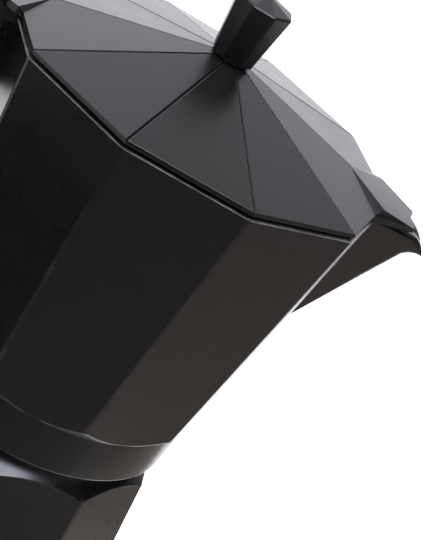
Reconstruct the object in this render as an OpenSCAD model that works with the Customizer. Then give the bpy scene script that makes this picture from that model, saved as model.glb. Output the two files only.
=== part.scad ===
// Ten-sided stovetop moka pot, six cups, with its handle, lid, funnel, seal and safety valve.
// Frame: +Z up, +X towards the spout, origin on the pot's axis at the resting face. Millimetres.

/* [Body form] */
// Number of flat sides of the boiler, the collector and the lid
sides = 10; // [8:2:12]

/* [Boiler] */
// Circumradius of the boiler at its base
base_r = 51.2; // [48:0.2:60]
// Circumradius that the boiler's walls lean in to, at the height of the collar's foot
boiler_top_r = 41.3; // [40.6:0.1:44]
// Height from the base to the foot of the neck
boiler_h = 77.6; // [66:0.2:100]
// Slope of the conical shoulder, in degrees from level
shoulder_angle = 42.7; // [36:0.1:50]
// Thickness of the boiler's walls
boiler_wall = 3.2; // [2.4:0.1:3.6]
// Thickness of the boiler's bottom
boiler_floor = 3.6; // [2.5:0.1:6]
// Bevel round the boiler's bottom, inside
floor_bevel = 4; // [2:0.5:8]
// Height of the bevel round the base
base_bevel = 1.4; // [0.6:0.1:3]
// Radius of the threaded neck, over the thread
neck_r = 37; // [36.6:0.1:37.4]
// Height of the neck
neck_h = 12.4; // [11:0.1:16]
// Wall of the neck
neck_wall = 3.3; // [2.8:0.1:3.8]
// Chamfer at the neck's mouth
neck_chamfer = 0.8; // [0.4:0.1:1.4]
// Depth of the ring groove in the base
base_groove = 0.6; // [0.3:0.1:1.2]
// Width of the ring on which the pot stands
base_land = 6; // [3:0.5:10]
// Width of the ring groove
base_groove_w = 8; // [4:0.5:12]

/* [Collector] */
// Gap from the foot of the neck up to the collar when it is screwed tight
collar_gap = 2.4; // [1.5:0.1:4]
// Height of the round collar
collar_h = 13.7; // [12.5:0.1:16]
// Radius of the collar at its foot
collar_foot_r = 41.7; // [41.4:0.1:42.5]
// Radius of the collar at its top
collar_top_r = 42.6; // [42.3:0.1:43.4]
// Height of the turned cone that joins the collar to the flat sides
collar_cone_h = 3; // [2:0.1:4.5]
// Circumradius of the flat sides at their foot
waist_r = 45.2; // [44.6:0.1:47]
// Height from the collar's foot to the rim
collector_h = 91.2; // [84:0.2:110]
// Circumradius of the rim
rim_r = 54.5; // [53.5:0.1:60]
// Thickness of the collector's walls
collector_wall = 2.6; // [2:0.1:3.2]
// Radial clearance between the neck and the collar's bore
thread_clearance = 0.3; // [0.2:0.05:0.5]
// Thickness of the floor, from the seal's seat up
floor_t = 4; // [3.4:0.1:6]
// Width of the filter plate's seat round the space under the floor
dome_inset = 3.5; // [2.5:0.1:5]
// Height of that space
dome_h = 3.4; // [2.4:0.1:5]
// Rise of the floor towards the coffee column
floor_rise = 2.6; // [1.5:0.1:4]
// Radius of the coffee column's bore
column_bore_r = 3.4; // [2.8:0.1:4]
// Radius of the coffee column at its foot
column_foot_r = 9.6; // [8:0.1:11]
// Radius of the coffee column at its top
column_top_r = 6; // [5.4:0.1:7]
// Height of the coffee column above the seal's seat
column_h = 56; // [46:1:62]
// Height of the column's head
column_head = 6; // [4:0.5:9]
// Overhang of the column's head
column_lip = 0.9; // [0.5:0.1:1.5]
// Width of the two windows in the column's head
column_window = 3.6; // [2.4:0.2:4.4]

/* [Spout] */
// Half angle of the spout in plan, in degrees
spout_angle = 27.8; // [24:0.1:32]
// Distance from the rim's corner out to the keel, at the height of the rim
spout_out = 13.6; // [11:0.1:17]
// Radius of the spout's nose at the height of the rim
spout_nose_r = 3.9; // [3.3:0.1:4.5]
// Depth below the rim at which the keel leaves the corner
spout_depth = 38.3; // [30:0.1:46]
// Distance of the beak's tip beyond the keel
beak_out = 1.3; // [0.8:0.1:3]
// Drop of the beak's tip below the rim
beak_drop = 6; // [5:0.1:7.5]
// Radius by which the rim falls to the tip
beak_fall_r = 9.4; // [8:0.1:11]
// Radius of the hollow under the beak
beak_under_r = 4.9; // [3.5:0.1:6]
// Thickness of the spout's walls
spout_wall = 2.2; // [1.6:0.1:2.6]

/* [Lid] */
// Distance by which the lid's corners stand in from the rim's
lid_inset = 0.5; // [0.2:0.1:1.2]
// Height of the lid's edge
lid_edge_h = 1.15; // [0.9:0.05:2]
// Height of the shadow line between the rim and the lid's edge
lid_gap = 1.05; // [0.8:0.05:1.6]
// Rise of the lid's ridges from the edge to the axis
lid_rise = 13.1; // [10:0.1:18]
// Thickness of the lid's slopes, measured upright
lid_t = 2.2; // [1.6:0.1:3]
// Width of the step under the lid's edge
lid_step = 2.2; // [1.6:0.1:2.4]
// Depth of the boss under the lid's top
boss_drop = 4.6; // [4:0.1:7]
// Radius of that boss
boss_r = 6; // [5:0.1:8]
// Depth of the ring that locates the lid in the collector
lid_ring_depth = 1.8; // [1.2:0.1:3]
// Thickness of that ring
lid_ring_t = 1.5; // [1.2:0.1:2]
// Clearance all round between the lid and the collector
lid_clearance = 0.25; // [0.2:0.05:0.4]
// Width of the groove along each ridge
groove_w = 0.7; // [0.4:0.05:1]
// Depth of the groove along each ridge
groove_d = 0.5; // [0.3:0.05:0.8]
// Length of the spout tab inside the lid's corner
tab_in = 13.7; // [10:0.1:18]
// Distance of the tab's wide corners inside the lid's corner
tab_shoulder_in = 2.3; // [1:0.1:4]
// Half width of the tab's top at those corners
tab_shoulder_w = 9.9; // [8:0.1:11]
// Length of the tab outside the lid's corner
tab_out = 8.2; // [5:0.1:9]
// Half width of the tab's top at its end
tab_end_w = 5.5; // [4:0.1:6]
// Slope of the tab's top, as drop per length
tab_slope = 0.19; // [0.15:0.01:0.22]
// Depth of the shallow V in the tab's end
tab_notch = 1.2; // [0.6:0.1:1.8]
// Length of the hinge wedge inside the lid's corner
wedge_in = 9.4; // [8:0.1:14]
// Half width of the hinge wedge at the lid's edge
wedge_w = 13.9; // [12:0.1:16]
// Overhang of the hinge wedge past the lid's edge
wedge_overhang = 1.8; // [1:0.1:2.2]

/* [Hinge] */
// Distance of the hinge pin behind the collector's rim
hinge_back = 5.5; // [5.2:0.1:7]
// Height of the hinge pin above the rim
hinge_up = 1.1; // [0.8:0.1:1.6]
// Radius of the hinge pin
pin_r = 1.5; // [1.2:0.05:1.6]
// Radial running clearance of the hinge pin in the lid
pin_clearance = 0.06; // [0.04:0.01:0.09]
// Radius of the hinge's barrels
barrel_r = 3.4; // [3:0.1:3.6]
// Half width of the lid's barrel
barrel_w = 7; // [6:0.1:8]
// Thickness of each ear of the collector
ear_t = 4.4; // [3:0.1:5]
// Rise of the ears above the rim, in front of their knuckles
ear_rise = 0.5; // [0.2:0.05:0.7]
// Length by which the ears' tops reach in over the rim
ear_lap = 1.9; // [1.2:0.1:2.2]
// Side gap between the lid's barrel and each ear
ear_gap = 0.3; // [0.2:0.05:0.5]

/* [Knob] */
// Number of sides of the knob
knob_sides = 8; // [6:1:10]
// Circumradius of the knob's foot
knob_foot_r = 5.9; // [5.4:0.1:7]
// Circumradius of the knob's head
knob_head_r = 8.1; // [7.6:0.1:10]
// Height of the knob from its foot to the edge of its head
knob_h = 15.7; // [13.5:0.1:20]
// Rise of the knob's pyramid top
knob_rise = 1.9; // [1:0.1:4]
// Bevel round the knob's head
knob_bevel = 0.6; // [0.3:0.1:1]
// Radius of the round foot on the lid below the knob
knob_seat_r = 4.6; // [4.2:0.1:5.2]

/* [Handle] */
// Thickness of the tongue that carries the handle
tongue_t = 8; // [6:0.1:9]
// Length of the tongue behind the rim's corner
tongue_l = 17.5; // [14:0.5:20]
// Depth of the tongue's top below the rim
tongue_drop = 8; // [7:0.5:10]
// Height of the tongue
tongue_h = 15; // [12:0.5:18]
// Width of the handle's head
handle_w = 19; // [17:0.5:24]
// Width of the grip at its end
grip_w = 16; // [13:0.5:18]
// Distance from the rim's corner out to the handle's back
handle_out = 48.5; // [44:0.5:60]
// Height of the thumb rest above the rim
thumb_rise = 4.5; // [3:0.1:6]
// Depth of the grip, front to back, below the arm
grip_depth = 21; // [17:0.5:24]
// Depth of the grip at its foot
foot_depth = 15; // [12:0.5:18]
// Lean of the grip's foot in towards the pot
grip_lean = 7; // [4:0.5:12]
// Radius of the handle's corners, seen from the side
corner_r = 2.6; // [1.8:0.1:4]
// Softening of the handle's edges
edge_soft = 1.5; // [1:0.1:2]
// Length of the grip, from the rim down
grip_l = 84; // [72:1:95]
// Clearance between the handle's slot and the tongue
slot_clearance = 0.15; // [0.1:0.05:0.3]

/* [Funnel and seal] */
// Thickness of the funnel's metal
funnel_t = 0.8; // [0.6:0.1:1.2]
// Clearance between the basket and the neck's bore
basket_clearance = 0.5; // [0.3:0.1:1]
// Depth of the basket
basket_depth = 24; // [18:0.5:28]
// Height of the cone below the basket
cone_h = 10; // [7:0.5:13]
// Outer radius of the funnel's stem
stem_r = 5.4; // [4.8:0.1:6]
// Gap between the end of the stem and the boiler's bottom
stem_gap = 6; // [4:0.5:9]
// Thickness of the gasket
gasket_t = 3; // [2.5:0.1:4]
// Width of the gasket's ring
gasket_w = 8; // [6.5:0.1:9]
// Clearance round the gasket and the funnel's flange
seal_clearance = 0.25; // [0.2:0.05:0.5]
// Thickness of both perforated plates
plate_t = 0.9; // [0.6:0.1:1.2]
// Width of the plain rim of the funnel's plate
plate_rim = 3; // [2:0.5:5]
// Radius of the holes in both plates
hole_r = 0.7; // [0.5:0.1:1.1]
// Spacing of the rings of holes
hole_pitch = 4.7; // [4.2:0.1:5]

/* [Safety valve] */
// Height of the valve above the base
valve_z = 50; // [40:1:56]
// Radius of the valve's shank
valve_shank_r = 5; // [4.4:0.1:5.4]
// Width across the flats of the valve's hexagon
valve_hex = 14; // [13:0.1:16]
// Thickness of the hexagon
valve_hex_t = 5; // [4:0.1:6]
// Length of the valve's round nose
valve_nose = 4.5; // [3:0.1:6]
// Radius of the plunger's pin
plunger_r = 1.5; // [1.3:0.05:1.7]
// Turns of the valve's spring
spring_turns = 6; // [5:1:8]
// Radius of the spring's wire
wire_r = 0.25; // [0.2:0.01:0.3]

/* [Fasteners] */
// Radius of the knob's and the handle's screws
screw_r = 2; // [1.8:0.1:2.2]
// Radial gap between a screw or bush and its hole
fit_gap = 0.05; // [0.02:0.01:0.1]
// Wall of the threaded brass bushes
bush_wall = 1.2; // [1:0.1:1.4]

/* [Hidden] */
$fn = 96;
eps = 0.01;
step = 360 / sides;
flat = cos(step / 2);
// Length of a cut that passes right through the pot
cut = 2 * base_r;

// Heights, from the base up
collar_z = boiler_h + collar_gap;
neck_top = boiler_h + neck_h;
rim_z = collar_z + collector_h;
waist_z = collar_z + collar_h + collar_cone_h;
flange_top = neck_top + funnel_t + 0.2;
seat_z = flange_top + gasket_t;
lid_r = rim_r - lid_inset;
lid_z = rim_z + lid_gap + lid_edge_h;
lid_apex = lid_z + lid_rise;
spout_reach = rim_r + spout_out;
beak_reach = spout_reach + beak_out;
hinge_x = -rim_r - hinge_back;
hinge_z = rim_z + hinge_up;

// Radius of the flat walls at a height: circumradius of the boiler and of the collector
function boiler_r(z) = base_r + (boiler_top_r - base_r) * z / collar_z;
function collector_r(z) = rim_r + (waist_r - rim_r) * (rim_z - z) / (rim_z - waist_z);

neck_bore_r = neck_r - neck_wall;
collar_bore_r = neck_r + thread_clearance;
basket_r = neck_bore_r - basket_clearance;
gasket_r = neck_r - 0.6;
plate_r = gasket_r - gasket_w + 3;
shoulder_slope = tan(shoulder_angle);

module ngon_frustum(r1, r2, h, n = sides) {
    cylinder(r1 = r1, r2 = r2, h = h, $fn = n);
}

module hull_of(points) {
    hull() polyhedron(points = points, faces = [[for (i = [0 : len(points) - 1]) i]]);
}

module along_y(x, z, r, w) {
    translate([x, 0, z]) rotate([90, 0, 0]) cylinder(r = r, h = w, center = true);
}

// ---- Boiler -------------------------------------------------------------------------------

valve_u = boiler_r(valve_z) * flat;
valve_pad = 1.4;
valve_pad_r = valve_hex / 2 + 1.8;
washer_t = 0.6;

// Places a child on the valve's axis, level and square to one flat side, +Z outwards
module on_valve_axis(u) {
    rotate([0, 0, 2 * step]) translate([valve_u + u, 0, valve_z]) rotate([0, 90, 0]) children();
}

module boiler_envelope() {
    top = boiler_h + (neck_r - base_r) * shoulder_slope;
    rotate_extrude() polygon([
        [0, 0], [base_r * flat - base_bevel, 0], [base_r + eps, base_bevel * 1.4],
        [base_r + eps, top], [neck_r, boiler_h], [0, boiler_h]
    ]);
}

module boiler_cavity() {
    inner_foot = boiler_r(boiler_floor) * flat - boiler_wall;
    shoulder_in = boiler_h - boiler_wall / cos(shoulder_angle);
    wall_at = boiler_r(boiler_h) * flat - boiler_wall;
    turn_z = shoulder_in - (wall_at - neck_bore_r) * shoulder_slope;
    rotate_extrude() polygon([
        [0, boiler_floor], [inner_foot - floor_bevel, boiler_floor],
        [inner_foot, boiler_floor + floor_bevel],
        [boiler_r(turn_z) * flat - boiler_wall, turn_z], [neck_bore_r, shoulder_in],
        [neck_bore_r, neck_top + 1], [0, neck_top + 1]
    ]);
}

module boiler() {
    color("#26211f") difference() {
        union() {
            intersection() {
                rotate([0, 0, step / 2]) ngon_frustum(base_r, boiler_r(boiler_h), boiler_h);
                boiler_envelope();
            }
            translate([0, 0, boiler_h - 1]) cylinder(r = neck_r, h = neck_h + 1 - neck_chamfer);
            translate([0, 0, neck_top - neck_chamfer])
                cylinder(r1 = neck_r, r2 = neck_r - neck_chamfer, h = neck_chamfer);
            on_valve_axis(-boiler_wall) cylinder(r = valve_pad_r, h = boiler_wall + valve_pad);
        }
        boiler_cavity();
        on_valve_axis(-2 * boiler_wall) cylinder(r = valve_shank_r + fit_gap, h = 4 * boiler_wall);
        base_ring_groove();
    }
}

module base_ring_groove() {
    translate([0, 0, -eps]) difference() {
        cylinder(r = base_r * flat - base_land, h = base_groove + eps);
        translate([0, 0, -1])
            cylinder(r = base_r * flat - base_land - base_groove_w, h = base_groove + 3);
    }
}

// ---- Safety valve -------------------------------------------------------------------------

hex_u = valve_pad + washer_t;
nose_u = hex_u + valve_hex_t;
nose_end = nose_u + valve_nose;
shank_u = -boiler_wall - 3;
spring_bore_r = valve_shank_r - 1.6;
head_t = 1.5;
seat_t = 2.2;
head_u = shank_u + seat_t;
nose_wall = 1.4;
spring_end = nose_end - nose_wall;
spring_start = head_u + head_t;

module valve_body() {
    color("#c9a74e") difference() {
        union() {
            on_valve_axis(shank_u) cylinder(r = valve_shank_r, h = hex_u - shank_u + 1);
            on_valve_axis(hex_u) cylinder(r = valve_hex / sqrt(3), h = valve_hex_t, $fn = 6);
            on_valve_axis(nose_u) cylinder(r = valve_hex / 2 - 1.4, h = valve_nose - 0.6);
            on_valve_axis(nose_end - 0.6)
                cylinder(r1 = valve_hex / 2 - 1.4, r2 = valve_hex / 2 - 2, h = 0.6);
        }
        on_valve_axis(shank_u - 1) cylinder(r = spring_bore_r, h = spring_end - shank_u + 1);
        on_valve_axis(spring_end - 1) cylinder(r = plunger_r + fit_gap, h = nose_wall + 3);
    }
}

module valve_washer() {
    color("#b4652f") difference() {
        on_valve_axis(valve_pad) cylinder(r = valve_hex / 2 + 0.6, h = washer_t);
        on_valve_axis(valve_pad - 1) cylinder(r = valve_shank_r + fit_gap, h = washer_t + 2);
    }
}

module valve_seat() {
    color("#b8964a") difference() {
        on_valve_axis(shank_u) cylinder(r = spring_bore_r - fit_gap, h = seat_t);
        on_valve_axis(shank_u - 1) cylinder(r = plunger_r + 0.3, h = seat_t + 2);
    }
}

module valve_plunger() {
    color("#d0ccc2") union() {
        on_valve_axis(head_u) cylinder(r = spring_bore_r - 0.35, h = head_t);
        on_valve_axis(head_u) cylinder(r = plunger_r, h = nose_end + 1.6 - head_u);
        on_valve_axis(nose_end + 1.6) cylinder(r1 = plunger_r, r2 = plunger_r - 0.5, h = 0.5);
    }
}

// A helical wire swept as rings of points round the coil's path
module coil(r, wire, length, turns, per_turn = 16, ring = 6) {
    n = turns * per_turn;
    points = [
        for (i = [0 : n], j = [0 : ring - 1])
        let (a = 360 * i / per_turn, b = 360 * j / ring, d = r + wire * cos(b))
        [d * cos(a), d * sin(a), length * i / n + wire * sin(b)]
    ];
    sides_of = [
        for (i = [0 : n - 1], j = [0 : ring - 1])
        let (k = (j + 1) % ring)
        [i * ring + j, i * ring + k, (i + 1) * ring + k, (i + 1) * ring + j]
    ];
    start_cap = [[for (j = [0 : ring - 1]) ring - 1 - j]];
    end_cap = [[for (j = [0 : ring - 1]) n * ring + j]];
    polyhedron(points = points, faces = concat(sides_of, start_cap, end_cap));
}

module valve_spring() {
    coil_r = (plunger_r + spring_bore_r) / 2;
    length = spring_end - spring_start - 2 * wire_r - 0.1;
    color("#9aa0a6") on_valve_axis(spring_start + wire_r + 0.05)
        coil(coil_r, wire_r, length, spring_turns);
}

// ---- Funnel and seal ----------------------------------------------------------------------

basket_z = neck_top - basket_depth;
stem_top = basket_z - cone_h;
stem_foot = boiler_floor + stem_gap;

module funnel() {
    step_r = basket_r - funnel_t - 1.3;
    color("#c6c8ca") rotate_extrude() polygon([
        [stem_r - funnel_t, stem_foot], [stem_r, stem_foot], [stem_r, stem_top],
        [basket_r, basket_z - 1], [basket_r, neck_top],
        [gasket_r, neck_top], [gasket_r, flange_top],
        [basket_r - funnel_t, flange_top], [basket_r - funnel_t, basket_z],
        [step_r, basket_z], [step_r, basket_z - 0.5], [stem_r - funnel_t, stem_top + 1]
    ]);
}

// A perforated disc with a plain rim: one hole in the middle, then rings of six, twelve and so on
module perforated_disc(r, z, rim) {
    rings = floor((r - rim) / hole_pitch);
    difference() {
        translate([0, 0, z]) cylinder(r = r, h = plate_t);
        translate([0, 0, z - 1]) cylinder(r = hole_r, h = plate_t + 2, $fn = 24);
        for (k = [1 : rings], i = [0 : 6 * k - 1])
            rotate([0, 0, 60 * i / k]) translate([k * hole_pitch, 0, z - 1])
                cylinder(r = hole_r, h = plate_t + 2, $fn = 24);
    }
}

module funnel_plate() {
    color("#b9bbbd") perforated_disc(basket_r - funnel_t - fit_gap, basket_z, plate_rim);
}

module gasket() {
    color("#e9e4d6") translate([0, 0, flange_top]) difference() {
        cylinder(r = gasket_r, h = gasket_t);
        translate([0, 0, -1]) cylinder(r = gasket_r - gasket_w, h = gasket_t + 2);
    }
}

module filter_plate() {
    color("#b9bbbd") perforated_disc(plate_r, seat_z, plate_rim + dome_inset / 2);
}

// ---- Collector ----------------------------------------------------------------------------

floor_z = seat_z + floor_t;
plate_seat_z = seat_z + plate_t + 0.1;
column_top = seat_z + column_h;

spout_sharpness = 1 / sin(spout_angle) - 1;
spout_apex = spout_reach + spout_nose_r * spout_sharpness;
spout_root = rim_r * flat - 8;
keel_foot = [collector_r(rim_z - spout_depth), rim_z - spout_depth];
keel_top = [spout_reach, rim_z];
keel_dir = (keel_top - keel_foot) / norm(keel_top - keel_foot);
keel_normal = [keel_dir[1], -keel_dir[0]];
keel_root = keel_foot - 2 * keel_dir;
keel_r = 0.4;
beak_z = rim_z - beak_drop;
under_z = beak_z - beak_under_r;
under_x = keel_foot[0] + (beak_under_r + (under_z - keel_foot[1]) * keel_dir[0]) / keel_dir[1];
under = [under_x, under_z];
bend_z = under_z - beak_under_r * keel_normal[1];
bend_nose_r = keel_r + (spout_nose_r - keel_r) * (bend_z - keel_root[1]) / (rim_z - keel_root[1]);
fall_z = rim_z - beak_fall_r;
fall_x = beak_reach - 0.4 - sqrt(pow(beak_fall_r, 2) - pow(beak_z - fall_z, 2));

// The spout's plan: two straight sides and a round nose, all moved in by inset
module spout_plan(inset, reach) {
    nose = (spout_apex - reach) / spout_sharpness;
    wedge_plan(reach - nose, max(nose - inset, 0.6), spout_angle, spout_root);
}

// A wedge with a round nose, open towards the root: centre of the nose, its radius, half angle
module wedge_plan(centre, r, half, root) {
    touch = [centre + r * sin(half), r * cos(half)];
    root_y = touch[1] + (touch[0] - root) * tan(half);
    polygon([[root, -root_y], [touch[0], -touch[1]], touch, [root, root_y]]);
    translate([centre, 0]) circle(r = r, $fn = 48);
}

// The spout's body: it narrows from its plan at the rim to a point on the collector's corner
module spout_body(inset, top) {
    foot_x = keel_root[0] - inset / keel_dir[1] - keel_r;
    hull() {
        translate([0, 0, top]) linear_extrude(eps) spout_plan(inset, spout_reach);
        translate([foot_x, 0, keel_root[1]]) cylinder(r = keel_r, h = eps, $fn = 16);
    }
}

module from_side(w) {
    rotate([90, 0, 0]) linear_extrude(w, center = true) children();
}

// The beak: the keel's rounded V, turned about the hollow beneath it until it meets the rim
module beak(inset, top) {
    half = atan(tan(spout_angle) / keel_dir[1]);
    centre = beak_under_r + bend_nose_r;
    intersection() {
        translate([under[0], 0, under[1]]) rotate([90, 0, 0]) rotate_extrude()
            mirror([1, 0]) wedge_plan(-centre, max(bend_nose_r - inset, 0.6), half, -centre - 12);
        from_side(cut) polygon([
            under, under - spout_depth * keel_normal, [under[0] - spout_depth * keel_normal[0], top],
            [beak_reach, top], [beak_reach, under[1]]
        ]);
        translate([0, 0, rim_z - spout_depth])
            linear_extrude(2 * spout_depth) spout_plan(inset, beak_reach);
    }
}

// What lies above the falling rim of the beak
module rim_fall() {
    from_side(cut) difference() {
        translate([fall_x, fall_z]) square(2 * beak_fall_r + 1);
        translate([fall_x, fall_z]) circle(r = beak_fall_r);
    }
}

module spout_outside() {
    difference() {
        union() {
            spout_body(0, rim_z - eps);
            beak(0, rim_z);
        }
        rim_fall();
    }
}

module spout_inside() {
    spout_body(spout_wall, rim_z + 1);
    beak(spout_wall, rim_z + 1);
}

// Round form that trims the flat sides to the collar's cone
module collector_trim() {
    cone_out = waist_r - collar_top_r;
    rotate_extrude() polygon([
        [0, collar_z + collar_h], [collar_top_r, collar_z + collar_h], [waist_r, waist_z],
        [waist_r + cone_out, waist_z + collar_cone_h], [rim_r + 2, waist_z + 2 * collar_cone_h],
        [rim_r + 2, rim_z], [0, rim_z]
    ]);
}

module collector_shell() {
    foot_z = collar_z + collar_h - eps;
    intersection() {
        translate([0, 0, foot_z]) ngon_frustum(collector_r(foot_z), rim_r, rim_z - foot_z);
        collector_trim();
    }
    translate([0, 0, collar_z + 0.6]) cylinder(r1 = collar_foot_r, r2 = collar_top_r, h = collar_h - 0.6);
    translate([0, 0, collar_z]) cylinder(r1 = collar_foot_r - 0.6, r2 = collar_foot_r, h = 0.6);
}

module collector_cavity() {
    cut = collector_wall / flat;
    top = rim_z + 1;
    translate([0, 0, floor_z])
        ngon_frustum(collector_r(floor_z) - cut, collector_r(top) - cut, top - floor_z);
}

// The bore that takes the neck, the seal's seat and the space under the floor
module collector_underside() {
    translate([0, 0, collar_z - 1]) cylinder(r = collar_bore_r, h = neck_top + 0.2 - collar_z + 1);
    translate([0, 0, neck_top]) cylinder(r = gasket_r + seal_clearance, h = seat_z - neck_top);
    translate([0, 0, seat_z - eps]) cylinder(r = plate_r + seal_clearance, h = plate_t + 0.1 + eps);
    translate([0, 0, plate_seat_z - eps])
        cylinder(r1 = plate_r - dome_inset, r2 = column_bore_r, h = dome_h);
}

// The floor's rise to the coffee column, and the column with its closed top
module coffee_column() {
    foot = floor_z + floor_rise;
    rim = plate_r - 0.5;
    head_z = column_top - column_head;
    head_r = column_top_r + column_lip;
    rotate_extrude() polygon([
        [0, floor_z - 1], [rim, floor_z - 1], [rim, floor_z], [column_foot_r + floor_rise, foot],
        [column_foot_r, foot + floor_rise], [column_top_r, head_z], [head_r, head_z + column_lip],
        [head_r, column_top - column_lip], [column_top_r - column_lip, column_top + column_lip],
        [column_lip, column_top + 2 * column_lip], [0, column_top + 2 * column_lip]
    ]);
}

// The column's bore and the two windows in the sides of its head
module column_bore() {
    bore_top = column_top - 1.6;
    translate([0, 0, seat_z]) cylinder(r = column_bore_r, h = bore_top - seat_z);
    translate([0, 0, bore_top - column_window / 2])
        cube([column_window, 6 * column_top_r, column_window], center = true);
}

// One ear: a bar out from the rim that ends in a round knuckle for the pin
module hinge_ear(side) {
    centre = side * (barrel_w + ear_gap + ear_t / 2);
    front = ear_lap - rim_r;
    root = 2 * collector_wall - rim_r;
    foot = hinge_z - barrel_r;
    translate([0, centre, 0]) from_side(ear_t) {
        translate([hinge_x, hinge_z]) circle(r = barrel_r);
        polygon([
            [hinge_x, foot], [hinge_x, rim_z + ear_rise], [front, rim_z + ear_rise],
            [front, rim_z], [root, rim_z], [root, foot]
        ]);
    }
}

web_top = hinge_z - barrel_r - 0.6;
tongue_reach = rim_r + tongue_l;
tongue_top = rim_z - tongue_drop;
tongue_foot = tongue_top - tongue_h;
screw_x = -(tongue_reach - 3 * screw_r);
screw_z = (tongue_top + tongue_foot) / 2;

module handle_tongue() {
    root = collector_wall - collector_r(tongue_foot);
    gusset = tongue_t / 2;
    bevel = tongue_t / 4;
    difference() {
        from_side(tongue_t) polygon([
            [root, tongue_foot - gusset], [root - 2 * gusset, tongue_foot],
            [-tongue_reach, tongue_foot], [-tongue_reach, tongue_top - bevel],
            [-tongue_reach + bevel, tongue_top], [head_x + slot_clearance, tongue_top],
            [-rim_r - bevel / 2, web_top], [root, web_top]
        ]);
        along_y(screw_x, screw_z, screw_r + fit_gap, cut);
    }
}

module collector() {
    color("#1f1c1b") difference() {
        union() {
            difference() {
                union() {
                    collector_shell();
                    spout_outside();
                    handle_tongue();
                    hinge_ear(1);
                    hinge_ear(-1);
                }
                collector_cavity();
                spout_inside();
            }
            coffee_column();
        }
        collector_underside();
        column_bore();
        along_y(hinge_x, hinge_z, pin_r + fit_gap, cut);
    }
}

module hinge_pin() {
    w = 2 * (barrel_w + ear_gap + ear_t);
    color("#a9a9a6") union() {
        along_y(hinge_x, hinge_z, pin_r, w + 1);
        translate([0, w / 2 + 0.5, 0]) along_y(hinge_x, hinge_z, pin_r + 0.9, 1);
        translate([0, -w / 2 - 0.5, 0]) along_y(hinge_x, hinge_z, pin_r + 0.9, 1);
    }
}

// ---- Lid ----------------------------------------------------------------------------------

ring_r = (collector_r(rim_z) * flat - collector_wall - lid_clearance) / flat;
ridge_slope = lid_rise / lid_r;
knob_sink = 0.6;
knob_z = lid_apex - knob_sink;
boss_z = lid_apex - boss_drop;

// Height of the lid's ridge at a distance from the axis
function ridge_z(x) = lid_apex - ridge_slope * x;

// A V groove along each ridge
module lid_grooves() {
    for (i = [0 : sides - 1])
        rotate([0, 0, i * step]) translate([lid_r, 0, lid_z]) rotate([0, atan(ridge_slope), 0])
            translate([-lid_r * 1.02, 0, 0]) rotate([90, 0, 90]) linear_extrude(lid_r * 1.1)
                polygon([[0, -groove_d], [groove_w, groove_d], [-groove_w, groove_d]]);
}

// Height of a level-edged plate that leaves the ridge at start and falls gently outwards
function plate_z(start, x) = ridge_z(start) - tab_slope * (x - start);

module spout_tab() {
    tab_point = lid_r - tab_in;
    tab_shoulder = lid_r - tab_shoulder_in;
    tab_end = lid_r + tab_out;
    low = rim_z + lid_clearance;
    wide_y = tab_shoulder_w + 3.8;
    root_y = (spout_apex - rim_r) * tan(spout_angle) / (1 - tan(step / 2) * tan(spout_angle));
    root_x = rim_r - root_y * tan(step / 2);
    end_z = plate_z(tab_point, tab_end);
    difference() {
        hull_of([
            [tab_point, 0, ridge_z(tab_point)],
            for (s = [-1, 1]) each [
                [lid_r - wide_y * tan(step / 2), s * wide_y, lid_z],
                [root_x, s * (root_y - 0.1), low],
                [tab_shoulder, s * tab_shoulder_w, plate_z(tab_point, tab_shoulder)],
                [tab_end, s * tab_end_w, end_z],
                [tab_end + 0.3, s * (tab_end_w - 0.2), low]
            ]
        ]);
        translate([0, 0, low - 1]) linear_extrude(lid_rise) polygon([
            [tab_end - tab_notch, 0], [tab_end + 2, -tab_end_w * (1 + 2 / tab_notch)],
            [tab_end + 2, tab_end_w * (1 + 2 / tab_notch)]
        ]);
    }
}

// The raised wedge over the hinge and the arm that carries the lid's barrel
module hinge_wedge() {
    wedge_point = lid_r - wedge_in;
    low = lid_z - lid_edge_h;
    edge = lid_r - wedge_w * tan(step / 2);
    out = edge + wedge_overhang;
    back = lid_r + 0.6;
    back_w = barrel_w + ear_t;
    hull_of([
        [-wedge_point, 0, ridge_z(wedge_point)],
        for (s = [-1, 1]) each [
            [-edge, s * wedge_w, lid_z],
            [-edge, s * wedge_w, low],
            [-out, s * (wedge_w + 0.6), plate_z(wedge_point, out)],
            [-out, s * (wedge_w + 0.3), low],
            [-back, s * back_w, plate_z(wedge_point, back)],
            [-back, s * back_w, low]
        ]
    ]);
    difference() {
        hull() {
            along_y(hinge_x, hinge_z, barrel_r, 2 * barrel_w);
            translate([-back, -barrel_w, low]) cube([2, 2 * barrel_w, plate_z(wedge_point, back) - low]);
        }
        translate([-rim_r - 0.6, -cut / 2, rim_z - cut]) cube([cut, cut, cut + lid_clearance]);
    }
}

module lid_roof() {
    difference() {
        union() {
            translate([0, 0, lid_z]) ngon_frustum(lid_r, knob_sink / ridge_slope, lid_rise - knob_sink);
            translate([0, 0, lid_z - lid_edge_h]) ngon_frustum(lid_r, lid_r, lid_edge_h);
        }
        lid_grooves();
    }
    translate([0, 0, rim_z + lid_clearance])
        ngon_frustum(lid_r - lid_step, lid_r - lid_step, lid_gap - lid_clearance + eps);
    translate([0, 0, rim_z - lid_ring_depth])
        ngon_frustum(ring_r - 0.3, ring_r - 0.3, lid_ring_depth + lid_gap);
    translate([0, 0, knob_z - 3]) cylinder(r = knob_seat_r, h = 3);
}

module lid() {
    color("#3d3b3f") difference() {
        union() {
            lid_roof();
            spout_tab();
            hinge_wedge();
        }
        difference() {
            lid_cavity();
            translate([0, 0, boss_z]) cylinder(r = boss_r, h = lid_rise);
        }
        translate([0, 0, boss_z - 1]) cylinder(r = screw_r + 3 * fit_gap, h = lid_rise);
        along_y(hinge_x, hinge_z, pin_r + pin_clearance, cut);
    }
}

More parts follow.
